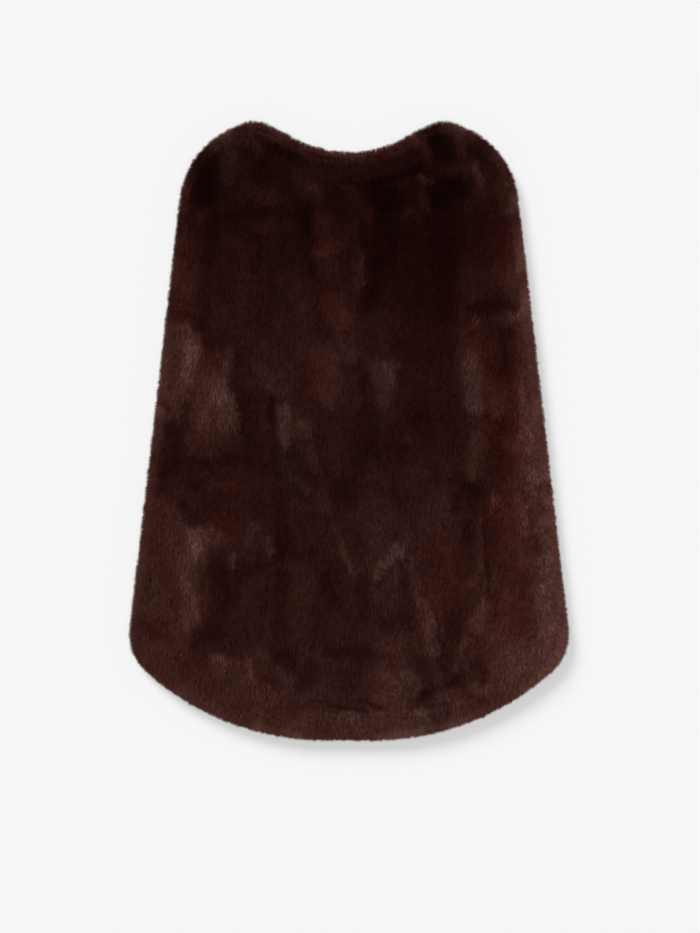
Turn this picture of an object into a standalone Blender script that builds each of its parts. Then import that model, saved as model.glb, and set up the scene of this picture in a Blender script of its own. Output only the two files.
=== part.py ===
"""Faux fur cape, laid flat with its back upwards: one back panel lying on two front panels.

Metres. +X runs across the back to the wearer's right, +Y from the hem to the neck, +Z up off the table.
The origin is on the table, under the middle of the cape.
"""

import bpy
import math
import numpy as np

# Walls: backing cloth with its pile. The fronts carry the back, so their pile is pressed down.
FRONT_WALL = 0.0070
BACK_WALL = 0.0110
SEAM_GAP = 0.0003
FRONT_EDGE_ROUND = 0.0026
BACK_EDGE_ROUND = 0.0042
ROUND_STEPS = 2

# Cut of the garment, as half a pattern: corners joined by straight edges, each corner rounded.
HEM_Y = -0.4236
HEM_X = 0.175
HEM_CORNER = (0.3036, -0.3063)
SHOULDER_CORNER = (0.2228, 0.3850)
NECK_POINT = (0.1296, 0.4287)
BACK_NECK_Y = 0.3603
FRONT_NECK_Y = 0.2990
HEM_ROUND = 0.364
HEM_CORNER_ROUND = 0.063
SHOULDER_ROUND = 0.116
NECK_POINT_ROUND = 0.043
BACK_NECK_ROUND = 0.162
FRONT_NECK_ROUND = 0.094

# Grid of each panel: columns run across, rows from hem to neck.
BACK_COLUMNS = 24
BACK_ROWS = 32
FRONT_COLUMNS = 11
FRONT_ROWS = 24
ARC_STEPS = 24
CROWDING = 0.45
RELAX_ROUNDS = 400

# Where the front neckline leaves the back unsupported, the back sinks to the table.
SAG_START = 0.013
SAG_RUN = 0.026
SAG_FLOOR = 0.0006

# Largest soft folds of the back: each lifts the cloth along a line, falling away to nothing at half_width.
FOLD_COLUMNS = ("start_x", "start_y", "end_x", "end_y", "half_width", "height")
FOLDS = [
    (-0.060, 0.055, -0.058, -0.175, 0.042, 0.0026),
    (0.188, 0.185, 0.194, -0.030, 0.036, 0.0030),
    (-0.160, 0.085, -0.168, -0.035, 0.040, 0.0030),
    (-0.190, -0.110, -0.204, -0.240, 0.036, 0.0024),
    (-0.018, -0.100, 0.012, -0.215, 0.034, 0.0020),
    (0.104, -0.200, 0.130, -0.310, 0.036, 0.0022),
    (0.217, -0.085, 0.229, -0.255, 0.034, 0.0022),
    (-0.010, 0.320, -0.014, 0.180, 0.040, 0.0020),
    (0.084, 0.325, 0.080, 0.165, 0.042, 0.0024),
    (-0.112, 0.330, -0.114, 0.190, 0.044, 0.0020),
]

PILE_COLOUR = (0.040, 0.012, 0.009, 1.0)
PILE_ROUGHNESS = 0.85


def arc(before, corner, after, radius):
    """Points of the arc that rounds a corner: it touches both edges at radius * tan(half the turn)."""
    corner = np.array(corner)
    towards = [np.array(end) - corner for end in (before, after)]
    towards = [vector / np.linalg.norm(vector) for vector in towards]
    half_angle = 0.5 * math.acos(float(np.dot(*towards)))
    bisector = (towards[0] + towards[1]) / np.linalg.norm(towards[0] + towards[1])
    centre = corner + bisector * radius / math.sin(half_angle)
    turn = math.pi / 2 - half_angle
    sideways = np.array((-bisector[1], bisector[0]))
    sideways *= math.copysign(1.0, float(np.dot(sideways, towards[1])))
    angles = np.linspace(-turn, turn, ARC_STEPS + 1)[:, None]
    return centre + radius * (sideways * np.sin(angles) - bisector * np.cos(angles))


def half_arcs(neck_y, neck_round):
    """The rounded corners of the right half, from the hem up to the neck, as a dictionary of arcs."""
    hem = (HEM_X, HEM_Y)
    return {
        "hem": arc((0.0, HEM_Y), hem, HEM_CORNER, HEM_ROUND),
        "hem corner": arc(hem, HEM_CORNER, SHOULDER_CORNER, HEM_CORNER_ROUND),
        "shoulder": arc(HEM_CORNER, SHOULDER_CORNER, NECK_POINT, SHOULDER_ROUND),
        "neck point": arc(SHOULDER_CORNER, NECK_POINT, (0.0, neck_y), NECK_POINT_ROUND),
        "neck": arc(NECK_POINT, (0.0, neck_y), (-NECK_POINT[0], NECK_POINT[1]), neck_round),
    }


def half_edges(neck_y, neck_round):
    """Hem, side and top edge of the right half, cut at the middle of the hem corner and shoulder arcs."""
    arcs = half_arcs(neck_y, neck_round)
    middle = ARC_STEPS // 2
    hem = np.concatenate([[(0.0, HEM_Y)], arcs["hem"], arcs["hem corner"][: middle + 1]])
    side = np.concatenate([arcs["hem corner"][middle:], arcs["shoulder"][: middle + 1]])
    top = np.concatenate([arcs["shoulder"][middle:], arcs["neck point"], arcs["neck"][: middle + 1]])
    return hem, side, top[::-1]


def spaced(points, count):
    """The polyline's points again, at count + 1 places along its length, crowded towards both ends."""
    lengths = np.concatenate([[0.0], np.cumsum(np.linalg.norm(np.diff(points, axis=0), axis=1))])
    share = np.linspace(0.0, 1.0, count + 1)
    share = (1.0 - CROWDING) * share + CROWDING * 0.5 * (1.0 - np.cos(math.pi * share))
    return np.stack([np.interp(share * lengths[-1], lengths, points[:, axis]) for axis in (0, 1)], axis=1)


def mirrored(points):
    return points * np.array((-1.0, 1.0))


def plan_grid(hem, top, left, right):
    """Rows of points inside four edges: a blend of the edges, then each inner point moved to its neighbours' mean."""
    across = np.linspace(0.0, 1.0, len(hem))[None, :, None]
    along = np.linspace(0.0, 1.0, len(left))[:, None, None]
    grid = (1 - along) * hem[None] + along * top[None] + (1 - across) * left[:, None] + across * right[:, None]
    grid -= (1 - along) * ((1 - across) * hem[0] + across * hem[-1])
    grid -= along * ((1 - across) * top[0] + across * top[-1])
    for _ in range(RELAX_ROUNDS):
        around = grid[:-2, 1:-1] + grid[2:, 1:-1] + grid[1:-1, :-2] + grid[1:-1, 2:]
        grid[1:-1, 1:-1] = around / 4
    return grid


def back_grid():
    """Plan of the back: the right half's edges with their mirror images."""
    hem, side, top = half_edges(BACK_NECK_Y, BACK_NECK_ROUND)
    hem = spaced(np.concatenate([mirrored(hem)[::-1], hem[1:]]), BACK_COLUMNS)
    top = spaced(np.concatenate([mirrored(top)[::-1], top[1:]]), BACK_COLUMNS)
    side = spaced(side, BACK_ROWS)
    return plan_grid(hem, top, mirrored(side), side)


def front_grid():
    """Plan of the right front: it stops half a seam gap short of the centre line."""
    hem, side, top = half_edges(FRONT_NECK_Y, FRONT_NECK_ROUND)
    hem[0, 0] = top[0, 0] = SEAM_GAP / 2
    centre = spaced(np.stack([hem[0], top[0]]), FRONT_ROWS)
    return plan_grid(spaced(hem, FRONT_COLUMNS), spaced(top, FRONT_COLUMNS), centre, spaced(side, FRONT_ROWS))


def eased(share):
    """Smooth step from 0 to 1."""
    share = np.clip(share, 0.0, 1.0)
    return share * share * (3.0 - 2.0 * share)


def fold_lift(x, y):
    """Sum of the folds: height * cosine bell of the distance from each fold's line."""
    lift = np.zeros_like(x)
    for row in FOLDS:
        fold = dict(zip(FOLD_COLUMNS, row))
        run_x = fold["end_x"] - fold["start_x"]
        run_y = fold["end_y"] - fold["start_y"]
        along = (x - fold["start_x"]) * run_x + (y - fold["start_y"]) * run_y
        along = np.clip(along / (run_x**2 + run_y**2), 0.0, 1.0)
        away = np.hypot(x - fold["start_x"] - along * run_x, y - fold["start_y"] - along * run_y)
        lift += fold["height"] * eased(1.0 - away / fold["half_width"])
    return lift


def past_front_neck(x, y):
    """How far a point lies past the front neckline, which is a polyline of arcs: positive beyond its edge."""
    top = half_edges(FRONT_NECK_Y, FRONT_NECK_ROUND)[2]
    inner = top[: int(np.argmax(top[:, 1])) + 1]
    ends = inner[1:] - inner[:-1]
    offsets = np.stack([np.abs(x), y], axis=-1)[..., None, :] - inner[:-1]
    share = np.clip((offsets * ends).sum(-1) / (ends**2).sum(-1), 0.0, 1.0)
    distance = np.linalg.norm(offsets - share[..., None] * ends, axis=-1).min(-1)
    edge_y = np.interp(np.abs(x), inner[:, 0], inner[:, 1])
    return np.where(y > edge_y, distance, -distance)


def back_underside(x, y):
    """The back rests one seam gap above the fronts, lifts in its folds and sinks past the front neckline."""
    carried = FRONT_WALL + SEAM_GAP
    sunk = eased((past_front_neck(x, y) - SAG_START) / SAG_RUN)
    return carried + (SAG_FLOOR - carried) * sunk + fold_lift(x, y)


def pile_material():
    material = bpy.data.materials.new("fur_pile")
    material.use_nodes = True
    shader = material.node_tree.nodes["Principled BSDF"]
    shader.inputs["Base Color"].default_value = PILE_COLOUR
    shader.inputs["Roughness"].default_value = PILE_ROUGHNESS
    shader.inputs["Metallic"].default_value = 0.0
    return material


def panel(name, plan, heights, wall, edge_round, collection):
    """One cloth panel: an open surface through the grid, thickened upwards, its rim rounded."""
    rows, columns = heights.shape
    points = np.dstack([plan, heights]).reshape(-1, 3)
    index = np.arange(rows * columns).reshape(rows, columns)
    corners = (index[:-1, :-1], index[:-1, 1:], index[1:, 1:], index[1:, :-1])
    faces = np.stack([part.ravel() for part in corners], axis=1)
    mesh = bpy.data.meshes.new(name)
    mesh.from_pydata(points.tolist(), [], faces.tolist())
    mesh.materials.append(pile_material())
    panel_object = bpy.data.objects.new(name, mesh)
    collection.objects.link(panel_object)
    thicken = panel_object.modifiers.new("wall", "SOLIDIFY")
    thicken.thickness = wall
    thicken.offset = 1.0
    rim = panel_object.modifiers.new("rim", "BEVEL")
    rim.width = edge_round
    rim.segments = ROUND_STEPS
    rim.limit_method = "ANGLE"
    rim.angle_limit = math.radians(50.0)
    return panel_object


def clear_scene():
    for existing in list(bpy.data.objects):
        bpy.data.objects.remove(existing, do_unlink=True)


def build():
    clear_scene()
    collection = bpy.data.collections.new("faux_fur_cape")
    bpy.context.scene.collection.children.link(collection)

    plan = back_grid()
    heights = back_underside(plan[..., 0], plan[..., 1])
    panel("back_panel", plan, heights, BACK_WALL, BACK_EDGE_ROUND, collection)

    plan = front_grid()
    flat = np.zeros(plan.shape[:2])
    panel("front_right", plan, flat, FRONT_WALL, FRONT_EDGE_ROUND, collection)
    panel("front_left", mirrored(plan)[:, ::-1], flat, FRONT_WALL, FRONT_EDGE_ROUND, collection)


build()
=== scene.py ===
import math

import bpy
import numpy as np
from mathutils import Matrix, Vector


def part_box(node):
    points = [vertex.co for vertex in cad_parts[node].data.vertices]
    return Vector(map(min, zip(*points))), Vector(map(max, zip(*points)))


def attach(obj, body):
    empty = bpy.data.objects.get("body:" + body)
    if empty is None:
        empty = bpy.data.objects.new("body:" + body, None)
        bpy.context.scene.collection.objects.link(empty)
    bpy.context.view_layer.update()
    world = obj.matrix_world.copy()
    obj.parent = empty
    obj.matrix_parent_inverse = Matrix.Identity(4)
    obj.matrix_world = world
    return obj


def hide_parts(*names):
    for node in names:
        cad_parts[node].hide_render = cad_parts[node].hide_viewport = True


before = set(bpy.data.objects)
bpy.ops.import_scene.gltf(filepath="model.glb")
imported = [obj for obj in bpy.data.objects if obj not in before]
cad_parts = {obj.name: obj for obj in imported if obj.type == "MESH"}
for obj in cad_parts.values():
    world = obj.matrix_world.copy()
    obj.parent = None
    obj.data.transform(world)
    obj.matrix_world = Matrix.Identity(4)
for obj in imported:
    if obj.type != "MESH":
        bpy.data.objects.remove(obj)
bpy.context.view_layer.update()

# Faux fur cape laid flat, back upwards: a thin cloth on each panel's form, covered with pile blades.
# Metres. +X runs across the back to the wearer's right, +Y from the hem to the neck, +Z up off the table.

BACK_LOW, BACK_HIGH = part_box("back_panel")
HALF_WIDTH = float(BACK_HIGH[0])
HALF_LENGTH = float(BACK_HIGH[1] - BACK_LOW[1]) / 2
FRONT_TOP = float(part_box("front_right")[1][2])
SEAM_GAP = 0.0003
TINY = 1e-9

# The cut, as half a pattern: each corner's place across and along, as shares of the half width and the half
# length, and its rounding in metres.
CUT = {
    "hem": (0.583, -1.000, 0.364),
    "hem corner": (1.0116, -0.7231, 0.063),
    "shoulder": (0.7423, 0.9089, 0.116),
    "neck point": (0.4318, 1.0120, 0.043),
    "back neck": (0.0, 0.8506, 0.162),
    "front neck": (0.0, 0.7059, 0.094),
}
ARC_STEPS = 24

rng = np.random.default_rng(11)


# ---- plan of the cape

def cut_corner(name):
    """A corner's place: its two shares times the half width and the half length."""
    across, along, _ = CUT[name]
    return np.array((across * HALF_WIDTH, along * HALF_LENGTH))


def arc(before, corner, after, radius):
    """Points of the arc that rounds a corner: it touches both edges at radius * tan(half the turn)."""
    towards = [end - corner for end in (before, after)]
    towards = [vector / np.linalg.norm(vector) for vector in towards]
    half_angle = 0.5 * math.acos(float(np.dot(*towards)))
    bisector = (towards[0] + towards[1]) / np.linalg.norm(towards[0] + towards[1])
    centre = corner + bisector * radius / math.sin(half_angle)
    turn = math.pi / 2 - half_angle
    sideways = np.array((-bisector[1], bisector[0]))
    sideways *= math.copysign(1.0, float(np.dot(sideways, towards[1])))
    angles = np.linspace(-turn, turn, ARC_STEPS + 1)[:, None]
    return centre + radius * (sideways * np.sin(angles) - bisector * np.cos(angles))


def half_edges(neck):
    """Hem, side and top edge of the right half, cut at the middle of the hem corner and shoulder arcs."""
    names = ("hem", "hem corner", "shoulder", "neck point", neck)
    places = [cut_corner("hem") * (0.0, 1.0)] + [cut_corner(name) for name in names]
    places.append(mirrored(cut_corner("neck point")))
    corners = zip(names, places[:-2], places[1:-1], places[2:])
    arcs = [arc(before, corner, after, CUT[name][2]) for name, before, corner, after in corners]
    middle = ARC_STEPS // 2
    hem = np.concatenate([places[:1], arcs[0], arcs[1][: middle + 1]])
    side = np.concatenate([arcs[1][middle:], arcs[2][: middle + 1]])
    top = np.concatenate([arcs[2][middle:], arcs[3], arcs[4][: middle + 1]])
    return hem, side, top[::-1]


def mirrored(points):
    """The same points on the other side of the centre line."""
    return points * np.array((-1.0, 1.0))


def spaced(points, count, crowding=0.0):
    """count + 1 points along a polyline: even steps mixed with cosine steps, which crowd at both ends."""
    lengths = np.concatenate([[0.0], np.cumsum(np.linalg.norm(np.diff(points, axis=0), axis=1))])
    share = np.linspace(0.0, 1.0, count + 1)
    share = (1.0 - crowding) * share + crowding * 0.5 * (1.0 - np.cos(math.pi * share))
    return np.stack([np.interp(share * lengths[-1], lengths, points[:, axis]) for axis in (0, 1)], axis=1)


def outline():
    """The back's whole outline, anticlockwise from the middle of the hem, as an open ring of points."""
    hem, side, top = half_edges("back neck")
    right = np.concatenate([hem[:-1], side[:-1], top[::-1]])
    return np.concatenate([right, mirrored(right)[-2:0:-1]])


def plan_grid(hem, top, left, right, rounds=600):
    """Rows of points inside four edges: a blend of the edges, less the blend of their four corners.

    Then each inner point is moved to the mean of its four neighbours, again and again.
    """
    across = np.linspace(0.0, 1.0, len(hem))[None, :, None]
    along = np.linspace(0.0, 1.0, len(left))[:, None, None]
    grid = (1 - along) * hem[None] + along * top[None]
    grid = grid + (1 - across) * left[:, None] + across * right[:, None]
    grid -= (1 - along) * ((1 - across) * hem[0] + across * hem[-1])
    grid -= along * ((1 - across) * top[0] + across * top[-1])
    for _ in range(rounds):
        around = grid[:-2, 1:-1] + grid[2:, 1:-1] + grid[1:-1, :-2] + grid[1:-1, 2:]
        grid[1:-1, 1:-1] = around / 4
    return grid


OUTLINE_POINTS = 900
OUTLINE = spaced(np.concatenate([outline(), outline()[:1]]), OUTLINE_POINTS)[:-1]


def eased(share):
    """Smooth step from 0 to 1: share squared times (3 - 2 * share)."""
    share = np.clip(share, 0.0, 1.0)
    return share * share * (3.0 - 2.0 * share)


# A map of the plan: how far inside the outline each place is.
MAP_STEP = 0.0025
MAP_MARGIN = 0.02
MAP_ORIGIN = np.array((-HALF_WIDTH - MAP_MARGIN, -HALF_LENGTH - MAP_MARGIN))
MAP_SPANS = [2 * (half + MAP_MARGIN) for half in (HALF_LENGTH, HALF_WIDTH)]
MAP_SHAPE = tuple(int(math.ceil(span / MAP_STEP)) + 1 for span in MAP_SPANS)
# Readings stop just over one cell short of the map's end, so that each has a cell beyond it.
LAST_CELL = 1.001


def distance_map():
    """Distance to the nearest outline edge at each map place, positive where that edge has it on its left."""
    ends = np.roll(OUTLINE, -1, axis=0) - OUTLINE
    steps = np.arange(MAP_SHAPE[1])
    rows = []
    for row in range(MAP_SHAPE[0]):
        places = MAP_ORIGIN + MAP_STEP * np.stack([steps, np.full_like(steps, row)], axis=1)
        offsets = places[:, None] - OUTLINE
        share = np.clip((offsets * ends).sum(-1) / (ends**2).sum(-1), 0.0, 1.0)
        apart = offsets - share[..., None] * ends
        lengths = np.linalg.norm(apart, axis=-1)
        near = lengths.argmin(axis=1)
        at = np.arange(len(places))
        side = ends[near, 0] * apart[at, near, 1] - ends[near, 1] * apart[at, near, 0]
        rows.append(np.where(side >= 0, 1.0, -1.0) * lengths[at, near])
    return np.array(rows)


DISTANCE = distance_map()
SLOPE_Y, SLOPE_X = np.gradient(DISTANCE, MAP_STEP)


def read_map(values, x, y):
    """Reading of a map at these places, blended from the cell's four corners."""
    column = np.clip((x - MAP_ORIGIN[0]) / MAP_STEP, 0, MAP_SHAPE[1] - LAST_CELL)
    row = np.clip((y - MAP_ORIGIN[1]) / MAP_STEP, 0, MAP_SHAPE[0] - LAST_CELL)
    j, i = column.astype(int), row.astype(int)
    return cell_blend(values, i, j, row - i, column - j)


def cell_blend(values, i, j, along, across):
    """A cell's four corner values blended across, then along, by the two shares."""
    low = values[i, j] * (1 - across) + values[i, j + 1] * across
    high = values[i + 1, j] * (1 - across) + values[i + 1, j + 1] * across
    return low * (1 - along) + high * along


def inside(x, y):
    """How far in from the outline a place lies, negative outside it."""
    return read_map(DISTANCE, x, y)


def outward(x, y):
    """Unit vector towards the nearest stretch of outline: down the slope of the distance map."""
    return unit(-np.stack([read_map(SLOPE_X, x, y), read_map(SLOPE_Y, x, y)], axis=-1))


def unit(vectors):
    """Each vector divided by its length."""
    return vectors / np.maximum(np.linalg.norm(vectors, axis=-1, keepdims=True), TINY)


# The lattice of the random waves: where it starts, left of and below the origin, and its width and length.
WAVES_LEFT = 0.5
WAVES_BELOW = 0.7
WAVES_WIDTH = 1.1
WAVES_LENGTH = 1.5


def waves(x, y, layers):
    """Sum of layers of smooth random waves, each from -weight to weight.

    A layer is a weight, its cell's width and length and a seed: random values on a lattice of such cells,
    blended across each cell by the smooth step.
    """
    total = 0.0
    for weight, width, length, seed in layers:
        source = np.random.default_rng(seed)
        shape = (int(WAVES_LENGTH / length) + 3, int(WAVES_WIDTH / width) + 3)
        values = source.uniform(-1.0, 1.0, shape)
        across, along = (x + WAVES_LEFT) / width, (y + WAVES_BELOW) / length
        j, i = np.floor(across).astype(int), np.floor(along).astype(int)
        total = total + weight * cell_blend(values, i, j, eased(along - i), eased(across - j))
    return total


# ---- folds

# The back's soft folds: start x and y, end x and y, half width and height.
FOLDS = [
    (-0.060, 0.055, -0.058, -0.175, 0.042, 0.0026),
    (0.188, 0.185, 0.194, -0.030, 0.036, 0.0030),
    (-0.160, 0.085, -0.168, -0.035, 0.040, 0.0030),
    (-0.190, -0.110, -0.204, -0.240, 0.036, 0.0024),
    (-0.018, -0.100, 0.012, -0.215, 0.034, 0.0020),
    (0.104, -0.200, 0.130, -0.310, 0.036, 0.0022),
    (0.217, -0.085, 0.229, -0.255, 0.034, 0.0022),
    (-0.010, 0.320, -0.014, 0.180, 0.040, 0.0020),
    (0.084, 0.325, 0.080, 0.165, 0.042, 0.0024),
    (-0.112, 0.330, -0.114, 0.190, 0.044, 0.0020),
]
# Where the front neckline leaves the back unsupported, the back sinks to the table.
SAG_START = 0.013
SAG_RUN = 0.026
SAG_FLOOR = 0.0006


def along_line(x, y, start_x, start_y, end_x, end_y):
    """Share of the way along a line, kept to its ends, and the distance from it."""
    run_x, run_y = end_x - start_x, end_y - start_y
    share = np.clip(((x - start_x) * run_x + (y - start_y) * run_y) / (run_x**2 + run_y**2), 0.0, 1.0)
    return share, np.hypot(x - start_x - share * run_x, y - start_y - share * run_y)


def fold_lift(x, y):
    """Sum of the folds: height * smooth step of 1 - distance from the fold's line / half width."""
    lift = np.zeros_like(x)
    for start_x, start_y, end_x, end_y, half_width, height in FOLDS:
        away = along_line(x, y, start_x, start_y, end_x, end_y)[1]
        lift += height * eased(1.0 - away / half_width)
    return lift


def past_front_neck(x, y):
    """Distance from the front neckline, positive beyond its edge and negative on the fronts' side."""
    top = half_edges("front neck")[2]
    inner = top[: int(np.argmax(top[:, 1])) + 1]
    away = np.full(x.shape, np.inf)
    for start, end in zip(inner[:-1], inner[1:]):
        away = np.minimum(away, along_line(np.abs(x), y, *start, *end)[1])
    return np.where(y > np.interp(np.abs(x), inner[:, 0], inner[:, 1]), away, -away)


def back_underside(x, y):
    """Height of the back's underside: the fronts' top, sinking to the table past them, plus the folds."""
    carried = FRONT_TOP + SEAM_GAP
    sunk = eased((past_front_neck(x, y) - SAG_START) / SAG_RUN)
    return carried + (SAG_FLOOR - carried) * sunk + fold_lift(x, y)


# ---- meshes

def new_mesh_object(name, vertices, faces, material, attributes):
    """A smooth mesh object from arrays: faces is (count, corners) indices, attributes are values by title."""
    mesh = bpy.data.meshes.new(name)
    mesh.vertices.add(len(vertices))
    mesh.vertices.foreach_set("co", np.ascontiguousarray(vertices, np.float32).ravel())
    mesh.loops.add(faces.size)
    mesh.loops.foreach_set("vertex_index", faces.ravel().astype(np.int32))
    mesh.polygons.add(len(faces))
    mesh.polygons.foreach_set("loop_start", np.arange(0, faces.size, faces.shape[1], dtype=np.int32))
    mesh.update(calc_edges=True)
    for title, values in attributes.items():
        layer = mesh.attributes.new(title, "FLOAT", "POINT")
        layer.data.foreach_set("value", values.astype(np.float32))
    mesh.polygons.foreach_set("use_smooth", np.full(len(faces), True))
    mesh.materials.append(material)
    return placed(name, mesh)


def placed(name, data):
    """A new object of this mesh, light or camera, in the scene."""
    item = bpy.data.objects.new(name, data)
    bpy.context.scene.collection.objects.link(item)
    return item


# ---- shader maths

class Value:
    """A shader socket with arithmetic: an expression on values adds its Math nodes to the tree."""

    def __init__(self, tree, socket):
        self.tree = tree
        self.socket = socket

    def _maths(self, operation, *sides):
        return new_node(self.tree, "ShaderNodeMath", {"operation": operation}, dict(enumerate(sides)))

    def __add__(self, other):
        return self._maths("ADD", self, other)

    def __sub__(self, other):
        return self._maths("SUBTRACT", self, other)

    def __rsub__(self, other):
        return self._maths("SUBTRACT", other, self)

    def __mul__(self, other):
        return self._maths("MULTIPLY", self, other)

    def __rpow__(self, other):
        return self._maths("POWER", other, self)

    __radd__ = __add__
    __rmul__ = __mul__

    def at_least(self, least):
        """The larger of the value and a number."""
        return self._maths("MAXIMUM", self, least)


def plug(tree, slot, side):
    """Links a value to a slot, or sets the slot to a number or colour."""
    if isinstance(side, Value):
        tree.links.new(side.socket, slot)
    else:
        slot.default_value = side


def new_node(tree, kind, settings, inputs, output=0):
    """Any node: its type, its settings, the values or links of its inputs, and which output is wanted."""
    made = tree.nodes.new(kind)
    for name, value in settings.items():
        setattr(made, name, value)
    for name, value in inputs.items():
        plug(tree, made.inputs[name], value)
    return Value(tree, made.outputs[output])


class Finish:
    """One material's nodes."""

    def __init__(self, name):
        self.material = bpy.data.materials.new(name)
        self.material.use_nodes = True
        self.tree = self.material.node_tree
        self.shader = self.tree.nodes["Principled BSDF"]

    def node(self, kind, settings=None, inputs=None, output=0):
        """Any node of this material."""
        return new_node(self.tree, kind, settings or {}, inputs or {}, output)

    def attribute(self, name):
        """A number that the mesh carries at each vertex."""
        return self.node("ShaderNodeAttribute", {"attribute_name": name}, output="Fac")

    def noise(self, scale, detail):
        """Cloudy noise over the object's own coordinates."""
        places = self.node("ShaderNodeTexCoord", output="Object")
        return self.node("ShaderNodeTexNoise", {}, {"Vector": places, "Scale": scale, "Detail": detail})

    def set(self, **inputs):
        """Gives the shader's inputs their values, an underscore for a space, and returns the material."""
        for name, value in inputs.items():
            plug(self.tree, self.shader.inputs[name.replace("_", " ")], value)
        return self.material


def colour(red, green, blue):
    """An opaque colour, in linear light."""
    return (red, green, blue, 1.0)


# The pile's dye in linear red, green and blue: its plain colour, how many times paler and how much greyer one
# step of bloom makes it, and the tints of the rim and of the cooler patches. The paler, greyer pile above 0
# bloom is painted sheen and the darker pile below 0 is painted shade; the rim's tint is painted rim light.
PLAIN_PILE = (0.0337, 0.0080, 0.00623)
SHEEN_AND_SHADE_GROWTH = (3.6, 5.2, 5.6)
PAINTED_SHEEN_GREY = (0.0, 0.105, 0.085)
RIM_LIGHT_TINT = (0.03, 0.0, -0.12)
COOLED = (0.0, 0.82, 1.0)
# Painted shade down a blade: the light left at its root and the gain up to its tip.
ROOT_LIGHT = 0.46
TIP_GAIN = 0.52
# The underfur's painted shade: how far up a blade its mottle puts it, and how much the painted rim light
# lightens it.
MOTTLE_GAIN = 0.5
MOTTLE_DROP = 0.1
UNDERFUR_RIM_LIGHTENING = 0.35


def pile_colour(finish, reach):
    """In each channel, plain pile * growth ^ bloom * light, then greyed, tinted at the rim and cooled.

    The light is the root's light plus the tip's gain * reach, times the blade's tone: painted shade, darker
    towards the root. The factor growth ^ bloom is painted sheen where bloom is above 0 and painted shade
    where it is below. Each of the last three changes is a factor of 1 + its share * how brushed, how near the
    rim or
    how cool the place is: the greying is painted sheen and the rim's tint is painted rim light.
    """
    bloom = finish.attribute("bloom")
    warm = finish.attribute("warm")
    tone = finish.attribute("tone")
    cool = finish.attribute("cool")
    # Painted shade: darker down each blade towards its root.
    light = (reach * TIP_GAIN + ROOT_LIGHT) * tone
    brushed = bloom.at_least(0.0)
    channels = []
    dyes = zip(PLAIN_PILE, SHEEN_AND_SHADE_GROWTH, PAINTED_SHEEN_GREY, RIM_LIGHT_TINT, COOLED)
    for plain, growth, sheen_grey, rim_light_tint, cooled in dyes:
        # Painted sheen: paler and greyer where the pile is brushed up; painted shade: darker where it is
        # pressed down.
        channel = growth**bloom * plain * light * (brushed * sheen_grey + 1.0)
        # Painted rim light: a warmer tint near the rim, most where it faces the neck.
        channels.append(channel * (warm * rim_light_tint + 1.0) * (cool * cooled + 1.0))
    return finish.node("ShaderNodeCombineColor", {}, dict(zip(("Red", "Green", "Blue"), channels)))


def pile_finish():
    """Dyed pile, chocolate at the tip: near black at the root with painted shade, greyer and paler with
    painted sheen where it is brushed up, and darker with painted shade where it is pressed down.
    """
    finish = Finish("fur_pile")
    shown = pile_colour(finish, finish.attribute("reach"))
    finish.set(Base_Color=shown, Roughness=0.60)
    finish.set(Specular_IOR_Level=0.04, Specular_Tint=colour(1.0, 0.55, 0.48))
    return finish.set(Sheen_Weight=0.02, Sheen_Roughness=0.5, Sheen_Tint=colour(0.9, 0.5, 0.42))


def underfur_finish():
    """The close underfur between the blades: the pile's dye with the painted shade of a blade's lower part,
    lighter at the rim with painted rim light, mottled and bumpy.
    """
    finish = Finish("underfur")
    mottle = finish.noise(scale=260.0, detail=3.0)
    # Painted shade: the underfur as dark as low on a blade; the painted rim light lightens it at the rim.
    reach = mottle * MOTTLE_GAIN - MOTTLE_DROP + finish.attribute("warm") * UNDERFUR_RIM_LIGHTENING
    shown = pile_colour(finish, reach)
    bump = finish.node("ShaderNodeBump", {}, {"Strength": 0.6, "Distance": 0.002, "Height": mottle})
    return finish.set(Base_Color=shown, Roughness=0.85, Specular_IOR_Level=0.05, Normal=bump)


# ---- cloth shells

SHELL_WALL = 0.0050
SHELL_INSET = 0.0060
INSET_SPREAD = 0.05
SHELL_ROUND = 0.0030
RIM_CROWDING = 0.75
RIM_REACH = 0.022
FRONT_FLOOR = 0.0003
FRONT_HEADROOM = 0.0004


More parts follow.
